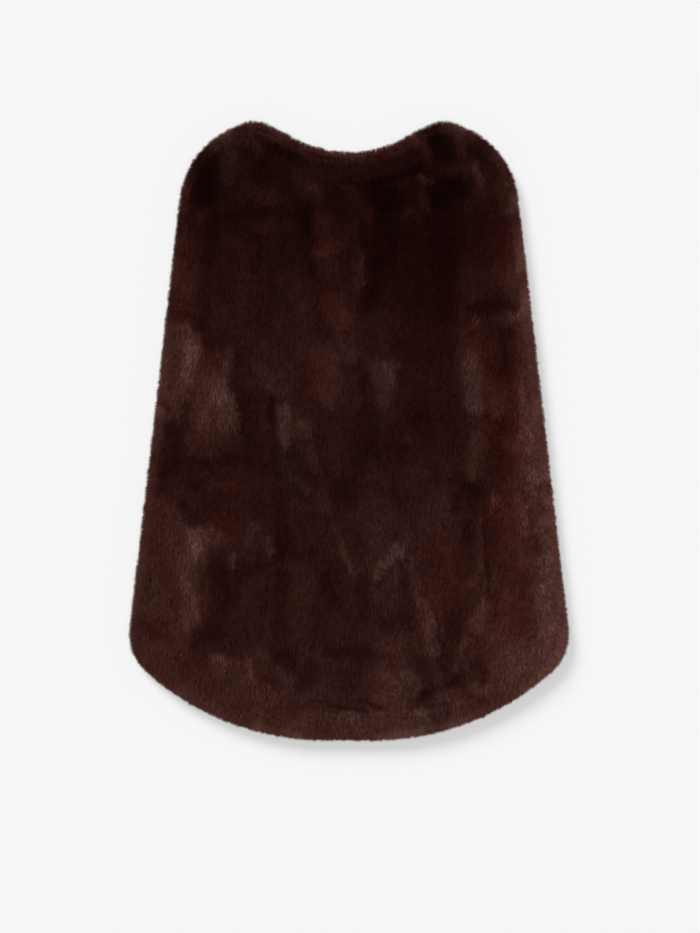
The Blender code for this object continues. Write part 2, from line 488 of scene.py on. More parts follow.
def panel_shell(name, plan, floor, wall, material):
    """A closed cloth: top and underside over one plan grid, swelling from a shared rim as a quarter ellipse.

    Half thickness = wall / 2 * sqrt(1 - (1 - d / round)^2) for a distance d from the rim under the rounding.
    Both sides share the rim's vertices, so the underside's own copies of them are left out.
    """
    rows, columns = plan.shape[:2]
    rim = np.concatenate([plan[0], plan[1:, -1], plan[-1, -2::-1], plan[-2:0:-1, 0]])
    flat = plan.reshape(-1, 2)
    away = np.full(len(flat), np.inf)
    for start, end in zip(rim, np.roll(rim, -1, axis=0)):
        away = np.minimum(away, along_line(flat[:, 0], flat[:, 1], *start, *end)[1])
    swell = np.sqrt(1.0 - (1.0 - np.clip(away / SHELL_ROUND, 0.0, 1.0)) ** 2)
    middle = floor(flat[:, 0], flat[:, 1]) + wall / 2
    upper = np.column_stack([flat, middle + wall / 2 * swell])
    lower = np.column_stack([flat, middle - wall / 2 * swell])
    above = np.arange(rows * columns).reshape(rows, columns)
    edge = np.zeros((rows, columns), bool)
    edge[[0, -1]] = True
    edge[:, [0, -1]] = True
    below = np.where(edge, above, above + rows * columns)
    used = np.concatenate([above.ravel(), below[~edge]])
    renumber = np.full(2 * rows * columns, -1)
    renumber[used] = np.arange(len(used))
    top = np.stack([above[:-1, :-1], above[:-1, 1:], above[1:, 1:], above[1:, :-1]], axis=-1)
    under = np.stack([below[:-1, :-1], below[1:, :-1], below[1:, 1:], below[:-1, 1:]], axis=-1)
    faces = renumber[np.concatenate([top.reshape(-1, 4), under.reshape(-1, 4)])]
    vertices = np.concatenate([upper, lower])[used]
    x, y = vertices[:, 0], vertices[:, 1]
    near_rim = eased(1.0 - inside(x, y) / RIM_REACH)
    # Near the rim the cloth takes the painted rim light: a warmer tint and lighter painted shade.
    attributes = {"bloom": bloom_at(x, y), "tone": np.ones(len(x)), "warm": near_rim, "cool": cool_at(x, y)}
    return new_mesh_object(name, vertices, faces, material, attributes)


def inset(points, amount):
    """Plan points moved in from the outline by the amount, falling evenly to none over the spread."""
    flat = points.reshape(-1, 2)
    pushed = amount * (1.0 - np.clip(inside(flat[:, 0], flat[:, 1]) / INSET_SPREAD, 0.0, 1.0))
    return (flat - outward(flat[:, 0], flat[:, 1]) * pushed[:, None]).reshape(points.shape)


INNER_RIM = inset(OUTLINE, SHELL_INSET)


def back_plan(columns=72, rows=104):
    """The back's plan grid: half edges and their mirror images, spaced and blended."""
    hem, side, top = half_edges("back neck")
    hem = spaced(np.concatenate([mirrored(hem)[::-1], hem[1:]]), columns, RIM_CROWDING)
    top = spaced(np.concatenate([mirrored(top)[::-1], top[1:]]), columns, RIM_CROWDING)
    side = spaced(side, rows, RIM_CROWDING)
    return plan_grid(hem, top, mirrored(side), side)


def front_plan(columns=30, rows=80):
    """The right front's plan grid, from the centre line's half seam gap to the side."""
    hem, side, top = half_edges("front neck")
    hem[0, 0] = top[0, 0] = SEAM_GAP / 2
    centre = np.stack([hem[0], top[0]])
    hem, top = (spaced(edge, columns, RIM_CROWDING) for edge in (hem, top))
    centre, side = (spaced(edge, rows, RIM_CROWDING) for edge in (centre, side))
    return plan_grid(hem, top, centre, side)


def front_floor(x, y):
    """Height of the fronts' underside, just off the table."""
    return np.full_like(x, FRONT_FLOOR)


def front_middle(x, y):
    """Height of the middle of the fronts' wall."""
    return np.full_like(x, FRONT_TOP / 2)


def back_middle(x, y):
    """Height of the middle of the back's cloth."""
    return back_underside(x, y) + SHELL_WALL / 2


# ---- nap

# Brush strokes left in the nap: start x and y, end x and y and two widths, in millimetres on the plan, and
# the rise in hundredths. Most are drawn downwards or to the right. The widths are how far a stroke fades
# towards -X and +X when drawn downwards, or below and above when drawn to the right. A rise above 0 is pile
# brushed up, painted paler and greyer as sheen, and one below 0 is pile pressed down, painted darker as
# shade. The rise also turns the lean and stands the pile up.
STROKES = [
    # broad lie of the nap
    (-80, 330, 90, 320, 190, 150, -40), (-170, 385, -60, 380, 60, 60, -10),
    (196, 320, 212, 250, 60, 40, -8), (96, 280, 105, 60, 60, 65, -16), (250, 168, 262, -45, 42, 58, 62),
    (224, 258, 240, 188, 45, 32, 18), (270, -120, 268, -300, 90, 58, 52),
    (-222, 250, -246, 120, 34, 40, 18), (-268, 60, -276, -60, 26, 20, 40),
    (-278, -110, -280, -280, 45, 70, 50), (-240, -372, -130, -345, 55, 52, 45),
    (-60, -378, 60, -380, 50, 30, 24), (100, -345, 225, -340, 95, 92, 32),
    (-150, -405, 150, -408, 40, 26, 28), (78, -122, 98, -170, 90, 90, 22),
    (90, -210, 150, -230, 40, 50, 10), (-60, -20, -50, -120, 40, 40, -15),
    (-150, -245, -60, -250, 60, 60, 2), (112, 5, 60, -20, 50, 48, -25), (272, -110, 284, -230, 28, 30, 24),
    (232, 318, 240, 226, 12, 10, 58), (-222, 330, -232, 268, 14, 15, 24),
    # left shoulder and neck point
    (-124, 262, -123, 240, 7, 7, -24), (-150, 262, -136, 250, 10, 12, 20),
    (-205, 380, -190, 378, 10, 10, 18), (-165, 412, -120, 422, 8, 8, -22),
    (-240, 326, -236, 282, 9, 9, -22), (-160, 338, -150, 322, 10, 10, 16), (-148, 407, -130, 391, 8, 9, 26),
    (-212, 384, -205, 336, 8, 8, 24), (-225, 318, -216, 296, 11, 11, -24), (-220, 360, -228, 310, 8, 8, 25),
    (-193, 372, -199, 326, 22, 22, -88), (-210, 388, -175, 406, 18, 14, -2),
    (-162, 398, -166, 352, 12, 13, 34), (-140, 340, -112, 325, 14, 14, 26),
    (-122, 370, -118, 355, 17, 19, -30), (-105, 392, -80, 384, 11, 13, -60),
    (-72, 372, -66, 362, 13, 11, -26), (-70, 352, -50, 330, 15, 15, 42), (-130, 410, -112, 400, 16, 14, 28),
    (-25, 338, -12, 308, 20, 22, -30),
    # neck: the pile combed over its edge, and the turned edge beneath painted as a faint step of shade
    # and sheen
    (-105, 405, -50, 384, 9, 9, 14), (-50, 380, 50, 380, 9, 9, 10), (50, 384, 105, 405, 9, 9, 4),
    (229, 318, 256, 130, 8, 8, 16), (-2, 347, 60, 348, 12, 10, -25), (60, 357, 118, 366, 11, 9, -40),
    (-47, 338, 8, 342, 7, 8, 32),
    # right neck point and shoulder
    (108, 410, 120, 406, 12, 11, -70), (98, 398, 112, 392, 9, 10, 36), (126, 398, 131, 382, 16, 18, -55),
    (146, 412, 155, 384, 7, 9, 40), (172, 392, 186, 384, 14, 14, -42), (164, 366, 182, 334, 11, 12, 32),
    (173, 365, 185, 345, 6, 6, 45), (100, 347, 110, 347, 6, 7, 65), (96, 332, 88, 306, 13, 13, 12),
    (34, 331, 62, 322, 20, 22, -80), (122, 330, 152, 346, 22, 20, -80), (126, 318, 131, 168, 20, 20, -30),
    (48, 300, 44, 238, 18, 24, -36), (32, 236, 27, 178, 13, 14, -40), (214, 336, 218, 312, 14, 12, 45),
    # upper middle
    (-66, 158, -50, 148, 12, 12, -14), (-60, 366, -20, 350, 10, 9, 13), (30, 268, 44, 246, 12, 12, -18),
    (18, 330, 26, 342, 8, 8, 22), (5, 366, 5, 336, 8, 8, -20), (46, 296, 98, 262, 24, 24, -17),
    (-48, 244, -28, 226, 11, 12, 22), (-164, 302, -84, 304, 9, 8, -13), (-60, 312, -57, 252, 13, 8, -25),
    (-52, 246, -50, 220, 5, 6, -40), (-34, 296, -32, 276, 16, 18, 30), (-46, 254, -14, 250, 15, 14, 50),
    (-26, 240, -24, 222, 20, 20, 16), (-12, 300, -6, 258, 8, 9, 12), (-22, 180, -11, 154, 17, 17, 50),
    (-66, 172, -62, 158, 16, 16, 22), (-86, 214, -80, 202, 18, 20, 32), (12, 240, 14, 212, 14, 10, 40),
    (0, 196, -4, 150, 14, 16, 24), (-188, 290, -198, 250, 13, 18, -38), (-200, 240, -203, 175, 9, 12, -25),
    (-228, 230, -226, 212, 18, 16, 10), (-136, 262, -130, 226, 9, 9, -26),
    (-178, 300, -70, 300, 13, 12, -16), (-106, 280, -98, 268, 14, 14, 14),
    # upper right
    (120, 150, 126, 136, 14, 14, -11), (164, 170, 172, 164, 7, 7, 24), (136, 352, 144, 346, 8, 8, -20),
    (146, 414, 178, 396, 8, 8, -22), (128, 386, 142, 374, 8, 8, -20), (112, 326, 122, 310, 7, 7, 22),
    (84, 296, 120, 294, 9, 9, -26), (158, 165, 172, 144, 8, 8, -24), (108, 390, 118, 372, 8, 8, 24),
    (104, 327, 116, 306, 9, 9, 34), (90, 344, 92, 322, 8, 8, -22), (130, 362, 150, 334, 15, 12, -24),
    (170, 222, 182, 192, 24, 26, 18), (142, 240, 146, 214, 14, 14, -6), (206, 232, 214, 214, 18, 18, 22),
    (206, 186, 214, 182, 18, 14, -26), (168, 169, 226, 176, 9, 11, -50), (176, 242, 186, 234, 14, 14, -20),
    # left side
    (-170, 116, -168, 92, 9, 9, 16), (-252, 32, -250, 26, 7, 7, 18), (-208, -34, -196, -36, 7, 7, -18),
    (-176, 6, -166, 2, 8, 8, -20), (-186, -186, -184, -226, 12, 12, 13), (-158, -172, -155, -186, 8, 8, 24),
    (-190, -322, -178, -340, 10, 10, -16), (-170, -62, -134, -66, 10, 9, -12),
    (-262, 132, -268, 60, 7, 7, -36), (-256, -180, -252, -210, 8, 8, -14),
    (-232, -172, -206, -214, 14, 12, -20), (-296, -196, -298, -226, 9, 8, 14),
    (-150, -178, -138, -192, 9, 9, -20), (-240, 234, -230, 194, 11, 12, 22),
    (-208, -132, -202, -270, 10, 10, 19), (-188, -22, -172, -46, 9, 9, 16),
    (-218, -6, -204, -28, 9, 10, 22), (-256, 32, -250, 22, 9, 9, 26), (-256, 128, -252, 64, 10, 9, 18),
    (-248, 153, -226, 147, 11, 11, 32), (-205, 112, -206, 66, 6, 7, 32), (-188, 108, -174, 32, 8, 8, -13),
    (-212, 128, -190, 128, 9, 9, -26), (-268, -40, -255, -74, 15, 15, -24),
    (-228, 128, -240, 60, 20, 26, 40), (-246, 40, -242, 20, 14, 16, 20), (-213, 130, -215, 82, 13, 9, 30),
    (-176, 96, -174, 60, 26, 10, 46), (-186, 56, -190, 14, 32, 30, 60), (-164, 42, -162, 12, 22, 13, 35),
    (-206, 8, -206, -20, 13, 20, 2), (-176, -4, -178, -22, 18, 16, 8), (-240, 6, -246, -62, 16, 16, -25),
    (-232, -44, -152, -36, 13, 13, -30), (-158, 96, -150, 48, 8, 12, -10),
    (-138, 42, -126, -48, 18, 24, -30), (-126, 86, -106, 60, 11, 11, 20),
    (-206, -70, -222, -72, 16, 13, -35), (-196, -68, -158, -70, 8, 8, 22),
    (-225, -104, -212, -122, 11, 11, -40), (-216, -148, -182, -144, 18, 16, 55),
    (-212, -162, -204, -168, 15, 15, 42), (-224, -176, -214, -262, 18, 13, 52),
    (-184, -190, -177, -236, 14, 18, -42), (-164, -172, -160, -190, 6, 6, 55),
    (-204, -276, -184, -268, 18, 20, -33), (-292, -264, -270, -278, 14, 13, -22),
    (-234, -272, -226, -284, 16, 14, 18),
    # middle
    (-140, -180, -130, -172, 8, 8, -10), (28, 72, 36, 62, 9, 9, -18), (-112, 12, -100, 8, 9, 9, 18),
    (-118, 56, -108, 52, 8, 8, -20), (92, -256, 98, -268, 9, 9, 20), (80, -12, 96, -16, 8, 8, 18),
    (140, -60, 144, -96, 10, 10, -14), (118, -278, 122, -300, 9, 9, -26), (94, -232, 100, -252, 8, 8, -20),
    (-24, -74, -14, -90, 9, 9, 18), (36, -208, 42, -222, 8, 8, 22), (76, -170, 84, -182, 8, 8, 26),
    (-6, -8, 2, -56, 12, 12, -13), (-60, 16, -50, 6, 9, 9, 24), (70, -6, 80, -16, 8, 8, -30),
    (-5, 146, -4, 140, 10, 10, -24), (-90, 250, -100, 150, 30, 36, -11), (-136, -206, -108, -190, 9, 9, 18),
    (-100, -166, -92, -178, 14, 14, 34), (84, 0, 104, 6, 12, 12, 22), (-16, -62, 32, -66, 11, 8, -18),
    (50, -84, 86, -100, 17, 17, -16), (-92, -86, -84, -158, 7, 7, -18), (86, -124, 88, -152, 9, 9, -20),
    (64, -166, 38, -196, 12, 12, -18), (30, -205, 44, -262, 42, 40, 14), (-92, 34, -93, -8, 9, 13, 58),
    (-76, 26, -72, 12, 12, 12, 24), (-62, 10, -58, -6, 9, 11, 46), (-56, -24, -46, -48, 8, 9, 32),
    (-78, -62, -56, -76, 9, 9, 28), (-37, -80, -36, -104, 8, 8, 30), (-100, -20, -97, -160, 11, 6, -15),
    (-97, -160, -92, -270, 12, 13, -30), (-35, 106, -30, 56, 21, 26, 40), (-8, 134, 4, 108, 13, 14, 30),
    (14, 94, 28, 34, 10, 14, -35), (24, 20, 22, -40, 20, 20, -34), (-16, -74, 8, -80, 20, 16, -32),
    (38, 94, 46, 44, 16, 18, 32), (56, 84, 58, 60, 9, 9, 48), (68, -4, 80, -12, 7, 7, 42),
    (98, 16, 104, 6, 15, 15, -22), (-128, -122, -142, -148, 8, 10, 32), (-112, -150, -106, -166, 9, 8, 40),
    (-140, -200, -118, -182, 16, 16, -20), (-116, -222, -114, -240, 10, 10, -20),
    (-92, -304, -84, -318, 16, 16, -46), (-30, -196, -22, -232, 14, 14, -28), (-8, -156, 1, -192, 5, 5, 34),
    (16, -198, 22, -246, 12, 12, -30), (66, -160, 42, -192, 12, 9, 66), (74, -180, 78, -204, 9, 10, -34),
    (90, -198, 92, -226, 8, 9, 28), (102, -236, 118, -300, 12, 9, 52), (56, -258, 90, -262, 16, 14, -30),
    (-30, -300, 46, -300, 12, 12, -30),
    # right side
    (172, -272, 176, -284, 8, 8, -18), (224, -70, 232, -92, 10, 10, 16), (150, -62, 170, -70, 10, 10, -16),
    (254, 130, 258, 60, 7, 7, -16), (212, 172, 232, 170, 7, 7, 16), (184, 92, 188, 76, 8, 8, 18),
    (264, -82, 270, -118, 9, 9, 24), (248, -142, 252, -158, 9, 9, -26), (230, 84, 232, 30, 9, 9, 13),
    (226, 10, 244, -4, 12, 12, 22), (180, -58, 184, -72, 9, 9, -20), (216, 306, 228, 214, 10, 10, 36),
    (250, -224, 252, -250, 8, 8, 16), (250, -106, 262, -206, 14, 15, 24), (198, -190, 200, -206, 9, 9, 24),
    (163, -164, 166, -206, 12, 12, 24), (262, -42, 267, -74, 10, 11, -22), (206, 2, 240, -20, 14, 14, 24),
    (184, 26, 196, 8, 10, 10, 28), (218, 118, 220, 76, 12, 12, 18), (206, 166, 232, 168, 10, 9, 28),
    (168, 140, 166, 108, 17, 20, 44), (165, 90, 165, 46, 16, 25, 60), (180, 34, 184, 4, 12, 12, 18),
    (176, -10, 172, -50, 16, 14, 33), (217, 132, 219, 80, 15, 15, -45), (200, 64, 206, 34, 14, 15, 44),
    (208, 12, 222, 4, 13, 13, -40), (200, -4, 197, -60, 9, 12, -12), (208, -30, 212, -84, 10, 14, -6),
    (186, 24, 188, 8, 9, 9, -20), (166, -76, 176, -102, 14, 13, -36), (203, -88, 196, -112, 6, 7, 20),
    (189, -104, 200, -246, 10, 12, -20), (253, -106, 256, -152, 7, 7, -22),
    (256, -158, 254, -200, 10, 10, -18), (150, -46, 148, -100, 10, 10, -20),
    (165, -126, 160, -190, 14, 15, -44), (144, -252, 132, -318, 11, 13, -26),
    (142, -343, 162, -334, 13, 13, -42), (176, -318, 184, -332, 12, 12, -40),
    (190, -240, 174, -266, 14, 14, 40), (158, -284, 146, -322, 7, 7, 34),
    (238, -232, 243, -276, 14, 14, -20), (208, -186, 232, -210, 20, 20, -20),
    (286, -276, 288, -296, 26, 20, 34),
    # hem
    (-280, -262, -240, -278, 14, 14, -14), (-178, -306, -166, -310, 7, 7, 26),
    (-10, -270, 20, -290, 18, 18, 10), (62, -318, 74, -336, 9, 9, -20), (-100, -362, -86, -400, 14, 14, 16),
    (92, -378, 98, -386, 8, 8, 24), (248, -336, 256, -352, 10, 10, -16), (40, -420, 170, -400, 9, 9, 20),
    (-230, -350, -180, -385, 12, 12, 14), (-128, -404, -70, -420, 12, 12, 28),
    (-62, -352, -58, -356, 12, 12, 18), (128, -376, 176, -392, 18, 20, 24),
    (84, -330, 114, -344, 20, 18, 28), (-76, -326, 56, -330, 24, 26, 17),
    (200, -320, 225, -345, 20, 22, 10), (-42, -382, 28, -386, 6, 6, 24), (172, -330, 184, -352, 14, 14, 28),
    (-118, -305, -88, -340, 16, 17, 24), (158, -298, 146, -328, 8, 9, -24),
    (98, -392, 112, -404, 11, 11, -12), (30, -325, 110, -335, 30, 30, -20),
    (-60, -358, -30, -364, 8, 10, -4), (-75, -330, -25, -325, 34, 36, 10),
    (-180, -308, -178, -328, 14, 14, 26), (-140, -316, -138, -336, 11, 11, 22),
    (-52, -325, -66, -342, 16, 18, -50), (-20, -335, 16, -352, 24, 22, -16),
    (98, -318, 110, -346, 15, 15, -34), (-104, -318, -100, -340, 13, 13, -26),
    (30, -346, 88, -350, 24, 22, 24), (-52, -371, 34, -389, 5, 5, -12), (34, -388, 152, -376, 4, 4, 15),
    (-2, -374, 26, -374, 12, 12, -8), (122, -392, 130, -382, 16, 16, -36),
    (104, -370, 108, -360, 13, 13, -42), (-118, -320, -116, -336, 12, 12, -24),
    # small marks
    (-210, 125, -232, 25, 12, 10, 30), (-202, 318, -202, 300, 16, 12, 40), (-165, 118, -167, 90, 8, 8, 35),
    (-157, 54, -152, 12, 9, 7, 30), (66, 306, 92, 300, 14, 12, 30), (108, 328, 110, 316, 9, 10, 35),
    (136, 370, 150, 362, 12, 10, 45), (20, 230, 23, 205, 8, 8, 35), (48, 98, 62, 95, 9, 10, 50),
    (28, -38, 30, -60, 10, 10, 25), (-74, -97, -56, -98, 7, 7, 25), (238, -102, 238, -128, 12, 9, 36),
    (256, -215, 272, -268, 13, 12, 30), (60, -300, 62, -330, 24, 20, 22),
    (-176, -308, -154, -314, 9, 9, 25), (10, -390, 14, -402, 14, 14, 25), (55, -398, 85, -400, 8, 14, -22),
    (160, 166, 172, 156, 10, 10, 45), (196, 40, 206, 18, 10, 10, 25), (246, 30, 248, -4, 10, 8, 20),
    (-150, 402, -134, 400, 8, 8, 25), (-222, -132, -200, -130, 8, 8, 25),
    (-238, 154, -208, 146, 11, 14, -35), (148, 305, 148, 262, 12, 12, -30),
    (-53, 326, -55, 290, 10, 12, -30), (18, 290, 20, 258, 9, 10, -42), (-14, 246, 4, 244, 10, 9, -36),
    (-92, 362, -88, 340, 15, 13, -25), (122, 392, 132, 380, 11, 11, -30), (80, -164, 44, -198, 7, 8, -22),
    (-94, -170, -56, -172, 13, 13, -30), (-176, -132, -176, -150, 10, 10, -25),
    (-160, -186, -158, -226, 13, 12, -30), (74, -216, 76, -244, 18, 18, -25),
    (124, -294, 132, -338, 14, 14, -25), (78, -366, 100, -362, 11, 11, -30),
    (72, -76, 98, -74, 20, 18, -22), (180, -82, 192, -78, 12, 12, -25), (-106, 48, -106, 20, 10, 10, -38),
    (-82, -22, -78, -30, 10, 10, -25), (268, -76, 270, -104, 12, 8, -45), (170, 26, 188, 24, 8, 8, -20),
    (30, 134, 34, 106, 10, 11, -25), (-256, -84, -226, -96, 11, 12, -25),
    (94, -134, 106, -148, 14, 13, -20),
]


# Sharp creases in the pile, laid out like the strokes: pressed in and darkened with painted shade, or parted
# and paled with painted highlight.
CREASE_SHADE_AND_HIGHLIGHT = [
    # hem
    (-56, -365, -11, -375, 3, 3, -40), (-11, -375, 24, -384, 3, 3, -60), (14, -366, 43, -377, 3, 3, -40),
    (30, -381, 106, -378, 3, 3, -20), (106, -375, 137, -373, 3, 3, -36), (98, -358, 150, -341, 4, 4, -22),
    # neck step, painted as shade and highlight
    (-30, 344, 32, 346, 4, 3, -28), (32, 346, 98, 363, 4, 3, -42), (-44, 337, 42, 339, 4, 4, 10),
    # long slanting line down the middle
    (-50, -13, -27, -98, 3, 3, 20), (-27, -98, -16, -140, 3, 3, 24), (-11, -147, 3, -190, 3, 3, 22),
    # left
    (-104, 46, -99, -45, 4, 4, -20), (-99, -45, -94, -150, 5, 4, -12), (-156, 70, -150, 30, 3, 3, -20),
    # upper middle
    (29, 322, 31, 263, 5, 5, 14), (21, 250, 14, 198, 6, 5, 12), (26, 203, 28, 178, 5, 4, -26),
    (-54, 254, -49, 217, 4, 3, -26),
    # right
    (180, -92, 183, -190, 3, 3, 22), (186, -130, 193, -216, 3, 3, -32), (196, -78, 196, -105, 3, 3, 28),
    (239, 72, 236, -6, 4, 3, 20), (150, 99, 164, -6, 3, 4, -22), (148, -275, 150, -321, 3, 3, -22),
    (74, -4, 80, -8, 3, 3, 24),
]


# The dye's own drift, laid out like the strokes: rise > 0 is a cooler brown, rise < 0 a warmer one.
HUE_MARKS = [
    (-170, 362, -20, 352, 42, 40, 18), (20, 352, 125, 352, 30, 30, 6), (-98, 130, -88, -40, 22, 24, 20),
    (-86, -44, -34, -130, 28, 24, 20), (25, 142, 40, 30, 32, 32, 18), (30, -60, 62, -180, 44, 44, 13),
    (-205, -120, -205, -260, 34, 34, 8), (165, 76, 165, 36, 18, 18, 17), (104, -330, 122, -384, 36, 34, 20),
    (-160, 60, -150, -10, 34, 34, 6), (-60, -352, 30, -372, 44, 44, 8), (212, 80, 224, -268, 27, 30, -27),
    (130, -160, 140, -236, 28, 28, -18), (150, 280, 160, 120, 58, 48, -9), (84, 264, 108, 202, 36, 34, -14),
    (-226, 264, -234, 170, 20, 22, -20), (-26, 184, -26, 150, 24, 24, -16),
    (-44, 274, -32, 250, 26, 24, -12), (-165, -62, -176, -104, 24, 24, -18),
    (-236, -262, -214, -322, 34, 34, -10), (-48, 92, -50, 50, 14, 14, -10),
    (200, 300, 206, 200, 24, 20, -13),
    # small marks
    (-182, 388, -150, 372, 30, 26, 14), (30, 325, 50, 318, 14, 14, -12), (55, 285, 60, 278, 14, 14, 8),
    (140, 268, 160, 262, 16, 16, -10), (-60, 100, -48, 78, 18, 18, -10), (90, 130, 110, 112, 20, 20, -10),
    (170, 130, 190, 110, 22, 22, -8), (90, 30, 110, 10, 20, 20, -8), (-150, -30, -140, -50, 16, 16, -10),
    (-190, -110, -175, -130, 20, 20, -10), (-240, -70, -230, -90, 25, 25, -6),
    (-130, -138, -120, -168, 18, 18, 14), (-10, -80, 0, -95, 16, 16, -8),
    (-90, -150, -80, -165, 20, 20, -7), (-172, -232, -152, -262, 22, 22, -12),
    (-190, -360, -180, -372, 20, 20, -8), (185, -310, 190, -325, 20, 20, -8),
    (60, -285, 70, -292, 16, 16, -6), (202, 290, 215, 240, 16, 16, -12), (-180, 180, -180, 100, 40, 40, -5),
    (-100, 200, -98, 150, 14, 14, 8), (-112, 400, -50, 383, 12, 12, -22), (-50, 383, 50, 383, 12, 12, -24),
    (50, 383, 112, 400, 12, 12, -22), (228, 330, 262, 0, 14, 14, -6), (262, 0, 295, -270, 14, 14, -6),
    (-292, -120, -296, -280, 14, 14, 8), (-100, 30, -92, -20, 14, 14, 8), (166, -4, 168, -100, 16, 16, 8),
    (104, 24, 112, 4, 16, 16, -8), (272, -268, 280, -290, 18, 14, -10),
]

MILLIMETRE = 0.001
HUNDREDTH = 0.01
STROKE_REACH = 1.28
STROKE_SOFTNESS = 1.4
STROKE_STRENGTH = 1.05
PLAIN_BLOOM = 0.185

# Layers of random waves, as waves() reads them: weight, width, length and seed.
SWAY_ACROSS = [(0.0050, 0.034, 0.050, 61), (0.0014, 0.009, 0.017, 62)]
SWAY_ALONG = [(0.0050, 0.028, 0.040, 63), (0.0050, 0.005, 0.024, 64)]
TREMBLE_ACROSS = [(0.0018, 0.012, 0.020, 65)]
TREMBLE_ALONG = [(0.0018, 0.014, 0.014, 66)]
CLOUDS = [(0.15, 0.027, 0.043, 3), (0.06, 0.011, 0.021, 4), (0.03, 0.0046, 0.0090, 5)]
DYE_DRIFT = [(0.08, 0.020, 0.030, 9)]
LEAN_SWAY = [(0.30, 0.05, 0.09, 21), (0.20, 0.015, 0.03, 22)]


def stroke_lift(places, strokes):
    """Sum of the strokes: rise * smooth step of softness * (1 - distance / (reach * width on that side))."""
    x, y = places
    total = np.zeros_like(x)
    rows = np.array(strokes) * ([MILLIMETRE] * 6 + [HUNDREDTH])
    for start_x, start_y, end_x, end_y, left, right, rise in rows:
        away = along_line(x, y, start_x, start_y, end_x, end_y)[1]
        side = (x - start_x) * (start_y - end_y) + (y - start_y) * (end_x - start_x)
        width = STROKE_REACH * np.where(side > 0, right, left)
        total += rise * eased(STROKE_SOFTNESS * (1.0 - away / width))
    return total


def swayed(x, y):
    """The plan wobbled by a few millimetres, so that no stroke has a ruled edge."""
    return x + waves(x, y, SWAY_ACROSS), y + waves(x, y, SWAY_ALONG)


def trembled(x, y):
    """The plan wobbled by a millimetre or two, for the creases."""
    return x + waves(x, y, TREMBLE_ACROSS), y + waves(x, y, TREMBLE_ALONG)


def bloom_at(x, y):
    """How far the pile is brushed up, and the painted sheen above 0 and painted shade below 0 that this gives
    its colour: a plain amount plus the strokes, the creases and the clouds.
    """
    bloom = PLAIN_BLOOM + STROKE_STRENGTH * stroke_lift(swayed(x, y), STROKES)
    return bloom + stroke_lift(trembled(x, y), CREASE_SHADE_AND_HIGHLIGHT) + waves(x, y, CLOUDS)


def cool_at(x, y):
    """How cool the dye is: the hue marks plus a slow drift."""
    return stroke_lift(swayed(x, y), HUE_MARKS) + waves(x, y, DYE_DRIFT)


# ---- pile blades

# A blade: how much of the sweep its lower and upper part take, each part's share of its length, how far it
# rolls and the reach (0 at the root, 1 at the tip) of its root, its waist's two sides and its tip.
# The reach sets the painted shade, darkest at the root.
LOWER_SWEEP = 0.45
UPPER_SWEEP = 1.9
LOWER_SHARE = 0.42
UPPER_SHARE = 0.58
ROLL = 0.60
BLADE_REACH = np.array([0.0, 0.45, 0.45, 1.0])
BLADE_FACES = np.array([[0, 1, 2], [2, 1, 3]])
PILE_FLOOR = 0.0004
# Gives the side of a blade that stands along the normal a direction.
NUDGE = np.array((1e-6, 0.0, 0.0))

# The baked picture's cells, one to a blade, and where in its cell a blade's corners lie.
CELL_COLUMNS = 512
CELL_ROWS = 200
CELL_ACROSS = (0.2, 0.8)
CELL_ALONG = (0.05, 0.45, 0.95)


def blades(name, root, normal, sweep, length, width, shown_root, looks, material):
    """Pile blades as one mesh, each a kite of two triangles bent across its waist.

    Each part runs along normal + its share * sweep, made unit, so a long level sweep lays the blade down and
    none leaves it upright. Each kite is rolled by a random angle about its upper part. A corner's reach runs
    from the shown root to 1.
    """
    count = len(root)
    low, high = unit(normal + LOWER_SWEEP * sweep), unit(normal + UPPER_SWEEP * sweep)
    side = unit(np.cross(high, normal) + NUDGE)
    roll = rng.normal(0.0, ROLL, count)[:, None]
    spread = side * np.cos(roll) + np.cross(side, high) * np.sin(roll)
    half = spread * (width / 2)[:, None]
    waist = root + low * (LOWER_SHARE * length)[:, None]
    tip = waist + high * (UPPER_SHARE * length)[:, None]
    corners = np.stack([root, waist + half, waist - half, tip], axis=1)
    corners[..., 2] = np.maximum(corners[..., 2], PILE_FLOOR)
    faces = (4 * np.arange(count)[:, None, None] + BLADE_FACES).reshape(-1, 3)
    # A corner's reach sets its painted shade, darker towards the root; a higher shown root lightens it.
    reach = shown_root[:, None] + (1.0 - shown_root[:, None]) * BLADE_REACH
    attributes = {title: np.repeat(values, 4) for title, values in looks.items()}
    attributes["reach"] = reach.ravel()
    made = new_mesh_object(name, corners.reshape(-1, 3), faces, material, attributes)
    layer = made.data.uv_layers.new(name="OFBake", do_init=False)
    layer.uv.foreach_set("vector", blade_cells(count).ravel().astype(np.float32))
    return made


def blade_cells(count):
    """Each blade's own cell: cell number counted along the rows, its corners at their shares of it."""
    row, column = np.divmod(np.arange(count), CELL_COLUMNS)
    left, right = ((column + share) / CELL_COLUMNS for share in CELL_ACROSS)
    foot, belt, head = ((row + share) / CELL_ROWS for share in CELL_ALONG)
    middle = (left + right) / 2
    return np.stack([middle, foot, left, belt, right, belt, right, belt, left, belt, middle, head], axis=1)


PILE_SPACING = 0.00110
ROW_SPACING = 0.866
PILE_JITTER = 0.45
PILE_LENGTH = 0.0120
PILE_WIDTH = 0.00085
PILE_SWEEP = 0.85
ROOT_CLEARANCE = 0.0004
ROOT_DEPTH = 0.0008
# Near the rim the painted root shade starts this far up a blade, so it is lighter there.
NEAR_RIM_ROOT = 0.5
WIDTH_RANGE = (0.7, 1.3)
TONE_RANGE = (0.3, 2.6)

LENGTH_SPREAD = 0.08
TONE_SPREAD = 0.24
CLUMP_LENGTH = 0.04
CLUMP_TONE = 0.10

